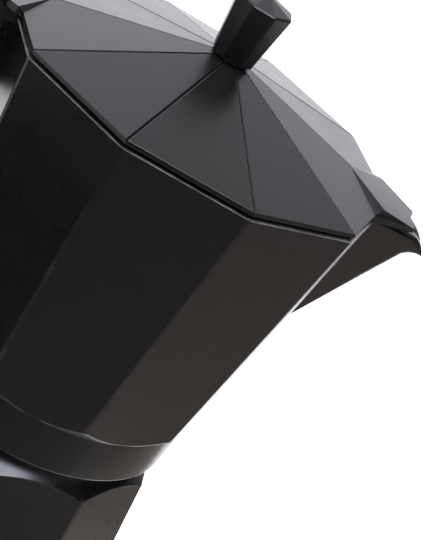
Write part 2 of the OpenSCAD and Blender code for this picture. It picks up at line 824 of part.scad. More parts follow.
module lid_cavity() {
    r = ring_r - 0.3 - lid_ring_t;
    foot = lid_apex - lid_t - ridge_slope * r;
    translate([0, 0, rim_z - lid_ring_depth - 1]) ngon_frustum(r, r, foot - rim_z + lid_ring_depth + 1);
    translate([0, 0, foot - eps]) ngon_frustum(r, 0.02, ridge_slope * r);
}

// ---- Knob ---------------------------------------------------------------------------------

bush_r = screw_r + bush_wall;
knob_bush_h = 9;

module knob() {
    head = knob_z + knob_h;
    color("#17151a") difference() {
        rotate([0, 0, 180 / knob_sides]) union() {
            translate([0, 0, knob_z]) ngon_frustum(knob_foot_r, knob_head_r, knob_h, knob_sides);
            translate([0, 0, head])
                ngon_frustum(knob_head_r, knob_head_r - knob_bevel, knob_bevel * 0.6, knob_sides);
            translate([0, 0, head + knob_bevel * 0.6])
                ngon_frustum(knob_head_r - knob_bevel, 0.05, knob_rise, knob_sides);
        }
        translate([0, 0, knob_z - 1]) cylinder(r = bush_r + fit_gap, h = knob_bush_h + 1.2);
    }
}

module knob_insert() {
    color("#c9a74e") translate([0, 0, knob_z]) difference() {
        cylinder(r = bush_r, h = knob_bush_h);
        translate([0, 0, -1]) cylinder(r = screw_r + fit_gap, h = knob_bush_h + 2);
    }
}

module knob_washer() {
    color("#a9a9a6") translate([0, 0, boss_z - 0.8]) difference() {
        cylinder(r = screw_r * 2.3, h = 0.8);
        translate([0, 0, -1]) cylinder(r = screw_r + fit_gap * 2, h = 3);
    }
}

module knob_screw() {
    head_z = boss_z - 0.8 - 1.9;
    color("#9c9c99") difference() {
        union() {
            translate([0, 0, head_z]) cylinder(r1 = screw_r * 1.5, r2 = screw_r * 1.9, h = 1.9);
            translate([0, 0, head_z + 1]) cylinder(r = screw_r, h = knob_z + knob_bush_h - 2 - head_z);
        }
        translate([0, 0, head_z]) cube([5, 0.9, 1.6], center = true);
    }
}

// ---- Handle -------------------------------------------------------------------------------

cheek_w = handle_w / 2 - tongue_t / 2 - slot_clearance;
counterbore = 2.6;
hump_x = hinge_x - barrel_r - 1;
head_x = -(rim_r + 3.4);
back_x = -rim_r - handle_out;
mid_back = back_x + grip_lean / 4;
foot_back = back_x + grip_lean;
mid_z = rim_z - grip_l / 2;
grip_foot = rim_z - grip_l;
mid_w = grip_w + (handle_w - grip_w) * 0.7;

// A round across the handle with softened edges, the corner of its hulls
module handle_corner(x, z, w) {
    translate([x, 0, z]) rotate([90, 0, 0]) {
        cylinder(r = corner_r, h = w - 2 * edge_soft, center = true, $fn = 28);
        cylinder(r = corner_r - edge_soft * 0.3, h = w - edge_soft * 0.6, center = true, $fn = 28);
        cylinder(r = corner_r - edge_soft, h = w, center = true, $fn = 28);
    }
}

module arm_back() {
    handle_corner(back_x + 4 * corner_r, rim_z + thumb_rise / 3 - corner_r, handle_w);
    handle_corner(back_x + corner_r, rim_z - tongue_drop - corner_r, handle_w);
}

module grip_middle() {
    handle_corner(mid_back + corner_r, mid_z, mid_w);
    handle_corner(mid_back + grip_depth - corner_r, mid_z, mid_w);
}

module handle_form() {
    top = rim_z + thumb_rise - corner_r;
    head_top = tongue_top + 1.5 - corner_r;
    head_foot = tongue_foot - 3 + corner_r;
    head_out = -tongue_reach - corner_r;
    // Head beside the collector, below the hinge
    hull() for (x = [head_x - corner_r, head_out - 1], z = [head_top, head_foot])
        handle_corner(x, z, handle_w);
    // Arm: rises behind the hinge to the thumb rest and falls away to the back
    hull() {
        handle_corner(hump_x - corner_r, top, handle_w);
        handle_corner(hump_x - corner_r, head_foot + tongue_h / 2, handle_w);
        handle_corner(hump_x - 5 * corner_r, top + 0.4, handle_w);
        handle_corner(head_out, head_foot, handle_w);
        arm_back();
        handle_corner(back_x + corner_r, head_foot, handle_w);
    }
    // Grip: upper and lower half, narrowing downwards
    hull() {
        arm_back();
        handle_corner(mid_back + grip_depth + 2 - corner_r, head_foot, handle_w);
        grip_middle();
    }
    hull() {
        grip_middle();
        handle_corner(foot_back + corner_r, grip_foot + corner_r, grip_w);
        handle_corner(foot_back + foot_depth - corner_r, grip_foot + 2 * corner_r, grip_w);
    }
}

module handle() {
    slot = tongue_t + 2 * slot_clearance;
    color("#17151a") difference() {
        handle_form();
        translate([-tongue_reach - slot_clearance, -slot / 2, tongue_foot - slot_clearance])
            cube([cut, slot, tongue_h + 2 * slot_clearance]);
        along_y(screw_x, screw_z, screw_r + fit_gap, cut);
        translate([0, handle_w / 2 - counterbore / 2 + 1, 0])
            along_y(screw_x, screw_z, screw_r * 1.9 + 0.2, counterbore + 2);
        translate([0, -handle_w / 2 + cheek_w / 2, 0])
            along_y(screw_x, screw_z, bush_r + fit_gap, cheek_w + 2);
    }
}

module handle_insert() {
    color("#c9a74e") translate([0, -handle_w / 2 + cheek_w / 2, 0]) difference() {
        along_y(screw_x, screw_z, bush_r, cheek_w - 0.4);
        along_y(screw_x, screw_z, screw_r + fit_gap, cheek_w + 2);
    }
}

module handle_screw() {
    head_y = handle_w / 2 - counterbore;
    shank = handle_w - counterbore - 0.6;
    color("#9c9c99") difference() {
        union() {
            translate([0, head_y + 1, 0]) along_y(screw_x, screw_z, screw_r * 1.9, 2);
            translate([0, head_y - shank / 2 + 0.5, 0]) along_y(screw_x, screw_z, screw_r, shank + 1);
        }
        translate([screw_x, head_y + 2, screw_z]) cube([6, 1.6, 1], center = true);
    }
}

// ---- Nodes --------------------------------------------------------------------------------

boiler();
valve_body();
valve_washer();
valve_seat();
valve_plunger();
valve_spring();
funnel();
funnel_plate();
gasket();
filter_plate();
collector();
hinge_pin();
lid();
knob();
knob_insert();
knob_washer();
knob_screw();
handle();
handle_insert();
handle_screw();
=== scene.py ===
"""Ten-sided stovetop moka pot: worked edges, finishes, threads, mould lines, light and camera.

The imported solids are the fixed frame. Each sub-assembly is a class that holds its sizes, rounds
the edges of its castings and mouldings, adds the threads that the solids leave out and dresses its
parts. Lengths are in metres and angles in degrees.
"""

import logging
import math
from dataclasses import dataclass, field
from enum import Enum
from typing import Iterable, Union

import bmesh
import bpy
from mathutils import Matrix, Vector

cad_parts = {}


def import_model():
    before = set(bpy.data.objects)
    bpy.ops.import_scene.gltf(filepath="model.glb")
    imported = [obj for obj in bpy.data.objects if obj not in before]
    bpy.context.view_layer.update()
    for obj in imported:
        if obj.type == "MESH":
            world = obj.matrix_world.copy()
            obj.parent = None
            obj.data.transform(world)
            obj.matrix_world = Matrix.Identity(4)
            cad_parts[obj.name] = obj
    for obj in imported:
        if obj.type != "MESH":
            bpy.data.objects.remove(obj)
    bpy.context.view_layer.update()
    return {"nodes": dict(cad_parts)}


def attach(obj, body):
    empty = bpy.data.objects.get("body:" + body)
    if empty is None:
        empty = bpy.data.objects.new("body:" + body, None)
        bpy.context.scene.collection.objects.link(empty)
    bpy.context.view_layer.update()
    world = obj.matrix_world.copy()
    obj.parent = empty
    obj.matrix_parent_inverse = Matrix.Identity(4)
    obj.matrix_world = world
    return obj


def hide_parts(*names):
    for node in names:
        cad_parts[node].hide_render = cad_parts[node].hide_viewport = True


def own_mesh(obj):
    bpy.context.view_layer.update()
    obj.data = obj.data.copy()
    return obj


Pair = tuple[float, float]
Triple = tuple[float, float, float]
Colour = tuple[float, float, float, float]
Socket = bpy.types.NodeSocket
Feed = Union[Socket, float, Colour]

LOG = logging.getLogger("moka_pot")
MM = 0.001
EDGE = "edge"
NUMBER = "NodeSocketFloat"
# Index of the material of a casting's unpainted faces.
BARE = 1


class Body(Enum):
    """The bodies that the scene's own pieces ride on, by the frame's names for them."""

    BASE = "base"
    TOP = "top"
    COVER = "cover"


class Slot(Enum):
    """Names of finishes in the record; no piece here is given one."""

    BLACK = "black_body"
    BARE = "bare_aluminium"
    PLASTIC = "black_plastic"
    STEEL = "steel"


class Grain(Enum):
    """How a metal's surface was worked."""

    TURNED = "turned"
    CAST = "cast"
    DRAWN = "drawn"


# ---- Node trees -----------------------------------------------------------------------------


@dataclass
class Graph:
    """Short ways to add and join the nodes of one tree."""

    tree: bpy.types.NodeTree

    def add(self, kind: str, **settings: object) -> bpy.types.Node:
        """Adds a node.

        Args:
            kind: The node's type without its ShaderNode prefix.
            settings: Properties of the node and their values.

        Returns:
            The new node.
        """
        prefix = "" if kind.startswith("NodeGroup") else "ShaderNode"
        node = self.tree.nodes.new(prefix + kind)
        for name, value in settings.items():
            setattr(node, name, value)
        return node

    def join(self, source: Socket, target: Socket) -> None:
        """Links one socket to another."""
        self.tree.links.new(source, target)

    def feed(self, target: Socket, value: Feed) -> None:
        """Gives a socket a plain value or joins another socket to it.

        Args:
            target: The socket to feed.
            value: A number, a colour or another socket.
        """
        if isinstance(value, Socket):
            self.join(value, target)
        else:
            target.default_value = value

    def maths(self, operation: str, *values: Feed, clamp: bool = False) -> Socket:
        """Adds a Math node.

        Args:
            operation: The operation's name.
            values: Its inputs, as numbers or sockets.
            clamp: Whether the result is held between 0 and 1.

        Returns:
            The result's socket.
        """
        node = self.add("Math", operation=operation, use_clamp=clamp)
        for socket, value in zip(node.inputs, values):
            self.feed(socket, value)
        return node.outputs[0]

    def times(self, value: Feed, factor: Feed) -> Socket:
        """Multiplies two values."""
        return self.maths("MULTIPLY", value, factor)

    def ranged(self, value: Feed, low: float, high: float, to_low: float = 0.0,
               to_high: float = 1.0) -> Socket:
        """Maps a value smoothly from one range to another.

        Args:
            value: The socket to map.
            low: Value that gives to_low.
            high: Value that gives to_high.
            to_low: Result at low.
            to_high: Result at high.

        Returns:
            The result's socket.
        """
        node = self.add("MapRange", interpolation_type="SMOOTHSTEP")
        for name, number in (("Value", value), ("From Min", low), ("From Max", high),
                             ("To Min", to_low), ("To Max", to_high)):
            self.feed(node.inputs[name], number)
        return node.outputs["Result"]

    def around(self, value: Feed, low: float, high: float, middle: float, spread: float) -> Socket:
        """Maps a value from low to high to what lies within a spread of a middle number."""
        return self.ranged(value, low, high, middle - spread, middle + spread)

    def noise(self, vector: Socket, scale: Feed, detail: float = 2.0, rough: float = 0.5) -> Socket:
        """Adds a noise pattern.

        Args:
            vector: Where the pattern is read.
            scale: Its scale.
            detail: Number of finer layers.
            rough: Strength of the finer layers.

        Returns:
            The socket of the pattern's value.
        """
        node = self.add("TexNoise")
        self.join(vector, node.inputs["Vector"])
        self.feed(node.inputs["Scale"], scale)
        node.inputs["Detail"].default_value = detail
        node.inputs["Roughness"].default_value = rough
        return node.outputs["Fac"]

    def mixed(self, share: Feed, first: Feed, second: Feed) -> Socket:
        """Mixes two colours.

        Args:
            share: Share of the second colour.
            first: The first colour.
            second: The second colour.

        Returns:
            The mixed colour's socket.
        """
        node = self.add("Mix", data_type="RGBA")
        self.feed(node.inputs[0], share)
        self.feed(node.inputs[6], first)
        self.feed(node.inputs[7], second)
        return node.outputs[2]

    def split(self, vector: Socket) -> tuple[Socket, ...]:
        """Splits a vector.

        Args:
            vector: The vector's socket.

        Returns:
            The sockets of its x, y and z.
        """
        node = self.add("SeparateXYZ")
        self.join(vector, node.inputs[0])
        return tuple(node.outputs)

    def place(self) -> Socket:
        """Returns the Object coordinates' socket."""
        return self.add("TexCoord").outputs["Object"]


def lighter(colour: Colour, factor: float) -> Colour:
    """Returns a colour made lighter by a factor, at most white."""
    return tuple(min(1.0, part * factor) for part in colour[:3]) + (1.0,)


def new_group(name: str, inputs: Iterable[tuple[str, float]],
              outputs: Iterable[str]) -> tuple[Graph, bpy.types.Node, bpy.types.Node]:
    """Makes an empty shader node group.

    Args:
        name: The group's name.
        inputs: Name and usual value of each input.
        outputs: Name of each output.

    Returns:
        The group's graph, its input node and its output node.
    """
    tree = bpy.data.node_groups.new(name, "ShaderNodeTree")
    for label, value in inputs:
        socket = tree.interface.new_socket(name=label, in_out="INPUT", socket_type=NUMBER)
        socket.default_value = value
    for label in outputs:
        tree.interface.new_socket(name=label, in_out="OUTPUT", socket_type=NUMBER)
    graph = Graph(tree)
    return graph, graph.add("NodeGroupInput"), graph.add("NodeGroupOutput")


class Effects:
    """The surface effects that several finishes share, each a node group built once."""

    def __init__(self) -> None:
        """Builds all the groups."""
        self.edge_wear = self._edge_wear()
        self.sprayed_skin = self._sprayed_skin()
        self.dust = self._dust()
        self.turned_rings = self._turned_rings()
        self.cast_skin = self._cast_skin()

    @staticmethod
    def _edge_wear() -> bpy.types.NodeTree:
        """Makes the polish along worked edges, broken up by noise.

        Returns:
            The group, which puts out a mask.
        """
        graph, given, out = new_group("edge_wear", [("Amount", 0.5), ("Scale", 90.0)], ["Mask"])
        edge = graph.add("Attribute", attribute_type="GEOMETRY", attribute_name=EDGE).outputs["Fac"]
        patches = graph.noise(graph.place(), given.outputs["Scale"], detail=3.0, rough=0.6)
        broken = graph.ranged(patches, low=0.35, high=0.7, to_low=0.35)
        mask = graph.times(graph.times(edge, broken), given.outputs["Amount"])
        graph.join(mask, out.inputs["Mask"])
        return graph.tree

    @staticmethod
    def _sprayed_skin() -> bpy.types.NodeTree:
        """Makes the faint peel of a sprayed coat and the slow change of its sheen.

        Returns:
            The group, which puts out a height and a sheen.
        """
        graph, given, out = new_group("sprayed_skin", [("Scale", 900.0)], ["Height", "Sheen"])
        place = graph.place()
        fine = graph.noise(place, given.outputs["Scale"], rough=0.55)
        grit = graph.noise(place, graph.times(given.outputs["Scale"], 4.3), detail=1.0)
        slow = graph.noise(place, scale=38.0, detail=3.0, rough=0.6)
        patchy = graph.noise(place, scale=210.0)
        sheen = graph.maths("ADD", graph.times(slow, 0.65), graph.times(patchy, 0.35))
        graph.join(graph.maths("ADD", fine, graph.times(grit, 0.12)), out.inputs["Height"])
        graph.join(sheen, out.inputs["Sheen"])
        return graph.tree

    @staticmethod
    def _dust() -> bpy.types.NodeTree:
        """Makes rare specks of dust, mostly on what faces up.

        Returns:
            The group, which puts out a mask.
        """
        graph, given, out = new_group("dust_specks", [("Scale", 240.0), ("Size", 0.1)], ["Mask"])
        cells = graph.add("TexVoronoi")
        graph.join(graph.place(), cells.inputs["Vector"])
        graph.join(given.outputs["Scale"], cells.inputs["Scale"])
        speck = graph.maths("LESS_THAN", cells.outputs["Distance"], given.outputs["Size"])
        chosen = graph.add("SeparateColor")
        graph.join(cells.outputs["Color"], chosen.inputs[0])
        rare = graph.maths("GREATER_THAN", chosen.outputs[0], 0.95)
        up = graph.split(graph.add("TexCoord").outputs["Normal"])[2]
        lying = graph.ranged(up, low=0.2, high=0.9)
        graph.join(graph.times(graph.times(speck, rare), lying), out.inputs["Mask"])
        return graph.tree

    @staticmethod
    def _turned_rings() -> bpy.types.NodeTree:
        """Makes the rings that a turning tool leaves round the pot's axis.

        Returns:
            The group, which puts out a height.
        """
        graph, given, out = new_group("turned_rings", [("Scale", 1500.0)], ["Height"])
        x, y, z = graph.split(graph.place())
        squares = graph.maths("ADD", graph.maths("POWER", x, 2.0), graph.maths("POWER", y, 2.0))
        ring = graph.add("CombineXYZ")
        graph.join(graph.maths("SQRT", squares), ring.inputs[0])
        graph.join(z, ring.inputs[2])
        height = graph.noise(ring.outputs[0], given.outputs["Scale"], detail=3.0, rough=0.65)
        graph.join(height, out.inputs["Height"])
        return graph.tree

    @staticmethod
    def _cast_skin() -> bpy.types.NodeTree:
        """Makes the pebbled skin of a casting and its stains.

        Returns:
            The group, which puts out a height and a stain.
        """
        graph, given, out = new_group("cast_skin", [("Scale", 700.0)], ["Height", "Stain"])
        place = graph.place()
        pebbles = graph.noise(place, given.outputs["Scale"], detail=4.0, rough=0.6)
        clouds = graph.noise(place, scale=45.0, detail=5.0, rough=0.65)
        graph.join(pebbles, out.inputs["Height"])
        graph.join(graph.ranged(clouds, low=0.35, high=0.75), out.inputs["Stain"])
        return graph.tree


# ---- Finishes -------------------------------------------------------------------------------


@dataclass
class Surface:
    """A material's graph with its Principled shader at hand."""

    material: bpy.types.Material
    graph: Graph
    shader: bpy.types.Node

    @classmethod
    def named(cls, name: str) -> "Surface":
        """Starts a material.

        Args:
            name: The material's name.

        Returns:
            The surface, with one Principled shader.
        """
        material = bpy.data.materials.new(name)
        material.use_nodes = True
        tree = material.node_tree
        shader = next(node for node in tree.nodes if node.type == "BSDF_PRINCIPLED")
        return cls(material, Graph(tree), shader)

    def plain(self, **values: Feed) -> None:
        """Sets numbers that are the same all over on the shader's own sockets."""
        for name, value in values.items():
            self.shader.inputs[name.replace("_", " ")].default_value = value

    def effect(self, group: bpy.types.NodeTree, **values: float) -> bpy.types.NodeOutputs:
        """Places a shared effect.

        Args:
            group: The effect's node group.
            values: This finish's own numbers for its inputs.

        Returns:
            What the effect puts out.
        """
        node = self.graph.add("Group", node_tree=group)
        for name, value in values.items():
            node.inputs[name].default_value = value
        return node.outputs

    def dress(self, colour: Socket, rough: Socket, height: Socket,
              depth: float) -> bpy.types.Material:
        """Joins what changes over the surface to the shader.

        Args:
            colour: The colour's socket.
            rough: The roughness's socket.
            height: The socket of the pattern that raises the surface.
            depth: Height of that pattern in metres.

        Returns:
            The finished material.
        """
        bump = self.graph.add("Bump")
        bump.inputs["Distance"].default_value = depth
        for source, target in ((colour, self.shader.inputs["Base Color"]),
                               (rough, self.shader.inputs["Roughness"]),
                               (height, bump.inputs["Height"]),
                               (bump.outputs["Normal"], self.shader.inputs["Normal"])):
            self.graph.join(source, target)
        return self.material


@dataclass(frozen=True)
class Wear:
    """How strongly and how finely the worked edges are polished, and how smooth that makes them."""

    amount: float
    scale: float
    polish: float

    def mask(self, surface: Surface, effects: Effects) -> Socket:
        """Returns the socket of the wear's mask on a surface."""
        return surface.effect(effects.edge_wear, Amount=self.amount, Scale=self.scale)["Mask"]


@dataclass(frozen=True)
class Dust:
    """The colour of dust, how dense and how large its specks are and how much they cover."""

    colour: Colour
    scale: float
    size: float
    cover: float

    def mask(self, surface: Surface, effects: Effects) -> Socket:
        """Returns the socket of the specks' mask on a surface."""
        return surface.effect(effects.dust, Scale=self.scale, Size=self.size)["Mask"]


@dataclass(frozen=True)
class PaintFinish:
    """A sprayed satin coat on cast aluminium."""

    name: str
    colour: Colour
    worn: Colour
    roughness: float
    spread: float
    index: float
    peel: float = 0.0035 * MM
    peel_scale: float = 900.0
    fade: float = 1.25
    wear: Wear = Wear(amount=0.8, scale=110.0, polish=0.08)
    dust: Dust = Dust((0.30, 0.29, 0.28, 1.0), scale=320.0, size=0.045, cover=0.5)
    dust_rough: float = 0.4

    def build(self, effects: Effects) -> bpy.types.Material:
        """Makes the material.

        Args:
            effects: The shared effects.

        Returns:
            The material.
        """
        surface = Surface.named(self.name)
        graph = surface.graph
        skin = surface.effect(effects.sprayed_skin, Scale=self.peel_scale)
        wear = self.wear.mask(surface, effects)
        dust = self.dust.mask(surface, effects)
        tone = graph.mixed(graph.ranged(skin["Sheen"], 0.3, 0.7), self.colour,
                           lighter(self.colour, self.fade))
        tone = graph.mixed(wear, tone, self.worn)
        tone = graph.mixed(graph.times(dust, self.dust.cover), tone, self.dust.colour)
        rough = graph.around(skin["Sheen"], 0.25, 0.75, self.roughness, self.spread)
        rough = graph.maths("SUBTRACT", rough, graph.times(wear, self.wear.polish))
        rough = graph.maths("ADD", rough, graph.times(dust, self.dust_rough), clamp=True)
        surface.plain(IOR=self.index)
        return surface.dress(tone, rough, skin["Height"], self.peel)


@dataclass(frozen=True)
class PlasticFinish:
    """A moulded heat-proof plastic with a fine spark-eroded skin and, where set, a mould line."""

    name: str
    colour: Colour
    roughness: float
    index: float
    line_height: float = 0.0
    line_flat: float = 0.08 * MM
    line_foot: float = 0.22 * MM
    grain: float = 3400.0
    depth: float = 0.012 * MM
    spread: float = 0.05
    fade: float = 1.3
    wear_share: float = 0.5
    wear_fade: float = 2.2
    wear: Wear = Wear(amount=1.0, scale=160.0, polish=0.14)
    dust: Dust = Dust((0.38, 0.37, 0.35, 1.0), scale=340.0, size=0.04, cover=0.6)

    def build(self, effects: Effects) -> bpy.types.Material:
        """Makes the material.

        Args:
            effects: The shared effects.

        Returns:
            The material.
        """
        surface = Surface.named(self.name)
        graph = surface.graph
        place = graph.place()
        skin = graph.noise(place, self.grain, detail=3.0, rough=0.6)
        slow = graph.noise(place, scale=60.0, detail=3.0, rough=0.6)
        wear = self.wear.mask(surface, effects)
        dust = self.dust.mask(surface, effects)
        tone = graph.mixed(graph.ranged(slow, 0.3, 0.7), self.colour,
                           lighter(self.colour, self.fade))
        tone = graph.mixed(graph.times(wear, self.wear_share), tone,
                           lighter(self.colour, self.wear_fade))
        tone = graph.mixed(graph.times(dust, self.dust.cover), tone, self.dust.colour)
        rough = graph.around(slow, 0.25, 0.75, self.roughness, self.spread)
        rough = graph.maths("SUBTRACT", rough, graph.times(wear, self.wear.polish), clamp=True)
        surface.plain(IOR=self.index)
        side = graph.maths("ABSOLUTE", graph.split(place)[1])
        line = graph.ranged(side, self.line_flat, self.line_foot, self.line_height, 0.0)
        return surface.dress(tone, rough, graph.maths("ADD", skin, line), self.depth)


@dataclass(frozen=True)
class MetalFinish:
    """A bare metal, turned, cast or drawn."""

    name: str
    colour: Colour
    stained: Colour
    roughness: float
    grain: Grain
    depth: float = 0.01 * MM
    cast_scale: float = 420.0
    fine_scale: float = 1600.0
    ring_scale: float = 1700.0
    skin_share: float = 0.3
    smoother: float = 0.07
    rougher: float = 0.09
    wear_fade: float = 1.2
    wear: Wear = Wear(amount=0.7, scale=140.0, polish=0.12)

    def build(self, effects: Effects) -> bpy.types.Material:
        """Makes the material.

        Args:
            effects: The shared effects.

        Returns:
            The material.
        """
        surface = Surface.named(self.name)
        graph = surface.graph
        scale = self.cast_scale if self.grain is Grain.CAST else self.fine_scale
        skin = surface.effect(effects.cast_skin, Scale=scale)
        wear = self.wear.mask(surface, effects)
        height = skin["Height"]
        if self.grain is Grain.TURNED:
            rings = surface.effect(effects.turned_rings, Scale=self.ring_scale)
            height = graph.maths("ADD", graph.times(height, self.skin_share), rings["Height"])
        tone = graph.mixed(skin["Stain"], self.colour, self.stained)
        tone = graph.mixed(wear, tone, lighter(self.colour, self.wear_fade))
        rough = graph.ranged(height, 0.3, 0.8, self.roughness - self.smoother,
                             self.roughness + self.rougher)
        rough = graph.maths("SUBTRACT", rough, graph.times(wear, self.wear.polish), clamp=True)
        surface.plain(Metallic=1.0)
        return surface.dress(tone, rough, height, self.depth)


@dataclass(frozen=True)
class RubberFinish:
    """A pale moulded sealing ring that coffee has tinted."""

    name: str
    colour: Colour
    tinted: Colour
    roughness: float
    spread: float = 0.06
    skin_scale: float = 1300.0
    depth: float = 0.02 * MM

    def build(self, effects: Effects) -> bpy.types.Material:
        """Makes the material.

        Args:
            effects: The shared effects.

        Returns:
            The material.
        """
        surface = Surface.named(self.name)
        graph = surface.graph
        skin = surface.effect(effects.cast_skin, Scale=self.skin_scale)
        tone = graph.mixed(skin["Stain"], self.colour, self.tinted)
        rough = graph.around(skin["Height"], 0.3, 0.7, self.roughness, self.spread)
        return surface.dress(tone, rough, skin["Height"], self.depth)


@dataclass
class Palette:
    """Every finish of the pot, made once."""

    effects: Effects = field(default_factory=Effects)
    made: dict[str, bpy.types.Material] = field(default_factory=dict)

    def __post_init__(self) -> None:
        """Builds the materials."""
        moulding = (0.0026, 0.0024, 0.0030, 1.0)
        for finish in (
            PaintFinish("satin_black", (0.0024, 0.0019, 0.0022, 1.0), (0.030, 0.028, 0.027, 1.0),
                        roughness=0.28, spread=0.03, index=1.42),
            PlasticFinish("black_moulding", moulding, roughness=0.36, index=1.40),
            PlasticFinish("handle_moulding", moulding, roughness=0.40, index=1.42, line_height=2.8),
            MetalFinish("cast_aluminium", (0.62, 0.62, 0.63, 1.0), (0.46, 0.43, 0.40, 1.0),
                        roughness=0.42, grain=Grain.CAST, depth=0.03 * MM),
            MetalFinish("turned_aluminium", (0.74, 0.74, 0.75, 1.0), (0.62, 0.60, 0.58, 1.0),
                        roughness=0.28, grain=Grain.TURNED),
            MetalFinish("drawn_steel", (0.56, 0.56, 0.55, 1.0), (0.45, 0.44, 0.43, 1.0),
                        roughness=0.26, grain=Grain.DRAWN),
            MetalFinish("turned_brass", (0.72, 0.50, 0.20, 1.0), (0.52, 0.36, 0.15, 1.0),
                        roughness=0.28, grain=Grain.DRAWN),
            MetalFinish("soft_copper", (0.72, 0.35, 0.22, 1.0), (0.46, 0.23, 0.15, 1.0),
                        roughness=0.36, grain=Grain.DRAWN),
            RubberFinish("pale_rubber", (0.70, 0.67, 0.58, 1.0), (0.52, 0.44, 0.33, 1.0),
                         roughness=0.55),
        ):
            self.made[finish.name] = finish.build(self.effects)

    def __getitem__(self, name: str) -> bpy.types.Material:
        """Returns a material by name."""
        return self.made[name]


# ---- Meshes ---------------------------------------------------------------------------------


def shown(name: str, form: bmesh.types.BMesh) -> bpy.types.Object:
    """Turns a bmesh into an object of the scene.

    Args:
        name: The object's name.
        form: Its shape, which is freed.

    Returns:
        The new object.
    """
    mesh = bpy.data.meshes.new(name)
    form.to_mesh(mesh)
    form.free()
    item = bpy.data.objects.new(name, mesh)
    bpy.context.collection.objects.link(item)
    return item


def finished(name: str, form: bmesh.types.BMesh, body: Body,
             materials: Iterable[bpy.types.Material], weighted: bool = True) -> bpy.types.Object:
    """Turns a bmesh into a piece that rides on a body.

    Args:
        name: The piece's name.
        form: Its shape, which is freed.
        body: The body that carries it.
        materials: Materials in the order of the faces' indices.
        weighted: Whether large flat faces hold the shading of their edges.

    Returns:
        The new object.
    """
    piece = shown(name, form)
    for material in materials:
        piece.data.materials.append(material)
    if weighted:
        shading = piece.modifiers.new("weighted", "WEIGHTED_NORMAL")
        shading.keep_sharp = True
        shading.weight = 60
    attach(piece, body.value)
    LOG.info("%s: %d faces on %s", name, len(piece.data.polygons), body.value)
    return piece


def copied(source: bpy.types.Object, merge: float = 0.002 * MM,
           flatness: float = 0.35) -> bmesh.types.BMesh:
    """Copies a solid of the frame with its doubles merged and its flat faces whole.

    Args:
        source: The frame's object.
        merge: Distance within which corners become one.
        flatness: Angle within which neighbouring faces become one.

    Returns:
        The merged copy.
    """
    form = bmesh.new()
    form.from_mesh(source.data)
    bmesh.ops.remove_doubles(form, verts=form.verts, dist=merge)
    bmesh.ops.dissolve_limit(form, angle_limit=math.radians(flatness), verts=form.verts,
                             edges=form.edges, use_dissolve_boundaries=False)
    return form


def faces_axis(face: bmesh.types.BMFace) -> bool:
    """Says whether a face looks towards the pot's axis."""
    middle = face.calc_center_median()
    return face.normal.x * middle.x + face.normal.y * middle.y < 0


@dataclass(frozen=True)
class Rounding:
    """One kind of outer edge, by its height, reach, length and angle, and how far it is rounded."""

    width: float
    low: float
    high: float
    reach: float
    shortest: float
    least: float = 25.0
    segments: int = 3

    def takes(self, edge: bmesh.types.BMEdge) -> bool:
        """Says whether an edge is of this kind.

        Args:
            edge: The edge.

        Returns:
            True for a sharp outer edge within the heights, past the reach and long enough.
        """
        first, second = (vertex.co for vertex in edge.verts)
        middle = (first + second) / 2
        return (edge.is_manifold and edge.is_convex
                and edge.calc_face_angle(0.0) > math.radians(self.least)
                and self.low < middle.z < self.high
                and math.hypot(middle.x, middle.y) > self.reach
                and (first - second).length > self.shortest)


def soften(form: bmesh.types.BMesh, kinds: Iterable[Rounding], merge: float = 0.002 * MM,
           sliver: float = 0.006 * MM) -> None:
    """Rounds the outer edges of a form and marks the rounding for the wear mask.

    Args:
        form: The shape.
        kinds: The kinds of edge, in the order in which they are rounded.
        merge: Distance within which corners become one afterwards.
        sliver: Width below which a face goes.
    """
    layer = form.verts.layers.float.get(EDGE) or form.verts.layers.float.new(EDGE)
    for kind in kinds:
        edges = [edge for edge in form.edges if kind.takes(edge)]
        result = bmesh.ops.bevel(form, geom=edges, offset=kind.width, offset_type="OFFSET",
                                 segments=kind.segments, profile=0.5, affect="EDGES",
                                 clamp_overlap=False, material=-1)
        fresh = set(result["faces"])
        for vertex in result["verts"]:
            if vertex.is_valid and all(face in fresh for face in vertex.link_faces):
                vertex[layer] = 1.0
        LOG.info("%d edges rounded to %.2f mm", len(edges), kind.width / MM)
    bmesh.ops.remove_doubles(form, verts=form.verts, dist=merge)
    bmesh.ops.dissolve_degenerate(form, dist=sliver, edges=form.edges)


def shade(form: bmesh.types.BMesh, sharp: float = 28.0, flat: float = 28.0) -> None:
    """Shades a form smooth and keeps its sharp edges.

    Args:
        form: The shape.
        sharp: Angle past which an edge in a rounding stays sharp.
        flat: The same angle for edges that no rounding touches.
    """
    worn = form.verts.layers.float.get(EDGE)
    for face in form.faces:
        face.smooth = True
    for edge in form.edges:
        rounded = worn and any(vertex[worn] > 0.5
                               for face in edge.link_faces for vertex in face.verts)
        limit = math.radians(sharp if rounded else flat)
        edge.smooth = edge.is_manifold and edge.calc_face_angle(0.0) < limit


